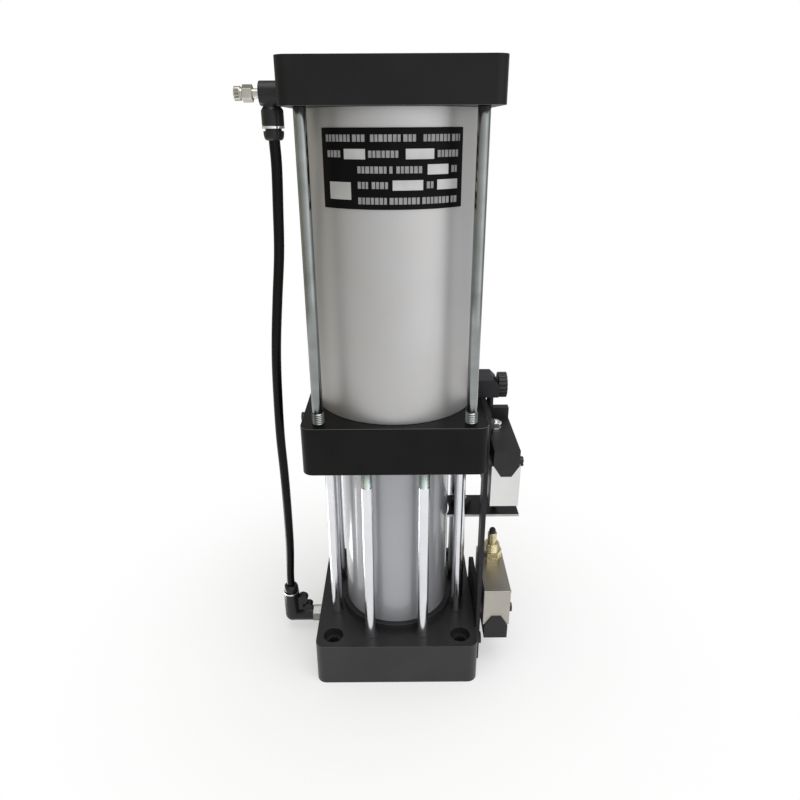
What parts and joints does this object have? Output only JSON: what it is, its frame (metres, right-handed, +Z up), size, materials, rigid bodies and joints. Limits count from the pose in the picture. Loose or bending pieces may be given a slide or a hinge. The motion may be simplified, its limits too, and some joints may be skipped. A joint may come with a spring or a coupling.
{
  "type": "air pressure booster",
  "caption": "Upright air-over-oil pressure booster: square plates, tie-rod air and oil tubes, ram through the base, trip arm with limit switches, flow control and hose.",
  "frame": {"origin": "cylinder axis at the underside of the base plate, the centre of the mounting holes", "axes": "+Z up along the cylinder axis, front with the label towards -Y, hose on -X and limit switches on +X"},
  "size_m": [0.1842, 0.12, 0.419],
  "materials": {
    "plate_black": "black anodised, satin",
    "tube_upper": "satin drawn",
    "tube_lower": "polished drawn",
    "zinc_steel": "zinc plated",
    "chrome_rod": "bright",
    "seal_rubber": "matt",
    "bronze": "turned",
    "piston_alloy": "turned",
    "plain_steel": "machined",
    "label": "black with pale lines, unlettered",
    "bracket_black": "black oxide, satin",
    "screw_black": "black oxide",
    "nickel_brass": "nickel plated",
    "fitting_black": "moulded",
    "bright_ring": "bright",
    "hose": "smooth polyurethane",
    "switch_black": "moulded",
    "cover_grey": "plated sheet",
    "cover_bright": "bright sheet",
    "bush_brass": "turned and threaded"
  },
  "bodies": {
    "housing": {"base_plate": "plate_black", "lower_tube": "tube_lower", "lower_tie_rods": "chrome_rod", "lower_tube_seals": "seal_rubber", "middle_plate": "plate_black", "upper_tube": "tube_upper", "upper_tie_rods": "zinc_steel", "upper_rod_nuts": "zinc_steel", "upper_tube_seals": "seal_rubber", "top_plate": "plate_black", "nameplate": "label", "bleed_screw": "screw_black", "ram_bush": "bronze", "ram_seal": "seal_rubber", "trip_bush": "fitting_black", "plunger_bush": "bronze", "plunger_seal": "seal_rubber", "flow_stud": "nickel_brass", "flow_body": "fitting_black", "elbow_stud": "nickel_brass", "elbow_body": "fitting_black", "fitting_rings": "bright_ring", "air_hose": "hose", "switch_bracket": "bracket_black", "bracket_screws": "screw_black", "switch_spacers": "plain_steel", "switch_screws": "screw_black", "lower_switch_body": "switch_black", "lower_switch_cover": "cover_grey", "lower_switch_bush": "bush_brass", "upper_switch_body": "switch_black", "upper_switch_cover": "cover_bright", "upper_switch_bush": "bush_brass", "bush_nuts": "bush_brass", "setting_stud": "bright_ring", "setting_nuts": "bright_ring", "hanger_stem": "bracket_black", "adjuster_block": "bracket_black"},
    "booster": {"booster_piston": "piston_alloy", "booster_seals": "seal_rubber", "plunger_rod": "chrome_rod", "plunger_nut": "plain_steel"},
    "ram": {"ram": "chrome_rod", "ram_piston_seals": "seal_rubber", "ram_yoke": "plain_steel", "trip_rod": "chrome_rod", "trip_arm": "bracket_black", "trip_nuts": "screw_black"},
    "flow_needle": {"flow_needle": "nickel_brass", "flow_lock_nut": "nickel_brass"},
    "flow_collet": {"flow_collet": "fitting_black"},
    "elbow_collet": {"elbow_collet": "fitting_black"},
    "adjuster_knob": {"adjuster_knob": "fitting_black"},
    "lower_plunger": {"lower_switch_plunger": "switch_black"},
    "upper_plunger": {"upper_switch_plunger": "switch_black"}
  },
  "joints": [
    {"name": "booster_slide", "type": "slide", "parent": "housing", "child": "booster", "axis": [0, 0, -1], "range_m": [0, 0.11]},
    {"name": "ram_slide", "type": "slide", "parent": "housing", "child": "ram", "axis": [0, 0, -1], "range_m": [0, 0.016]},
    {"name": "flow_needle_turn", "type": "hinge", "parent": "housing", "child": "flow_needle", "pos_m": [-0.085, -0.03, 0.4025], "axis": [-1, 0, 0], "continuous": true},
    {"name": "flow_collet_press", "type": "slide", "parent": "housing", "child": "flow_collet", "axis": [0, 0, 1], "range_m": [0, 0.0008], "stiffness_N_per_m": 500},
    {"name": "elbow_collet_press", "type": "slide", "parent": "housing", "child": "elbow_collet", "axis": [0, 0, -1], "range_m": [0, 0.0008], "stiffness_N_per_m": 500},
    {"name": "adjuster_knob_turn", "type": "hinge", "parent": "housing", "child": "adjuster_knob", "pos_m": [0.0755, 0.0005, 0.217], "axis": [1, 0, 0], "continuous": true},
    {"name": "lower_plunger_press", "type": "slide", "parent": "housing", "child": "lower_plunger", "axis": [0, 0, -1], "range_m": [0, 0.003], "stiffness_N_per_m": 800},
    {"name": "upper_plunger_press", "type": "slide", "parent": "housing", "child": "upper_plunger", "axis": [0, 0, 1], "range_m": [0, 0.003], "stiffness_N_per_m": 800}
  ]
}
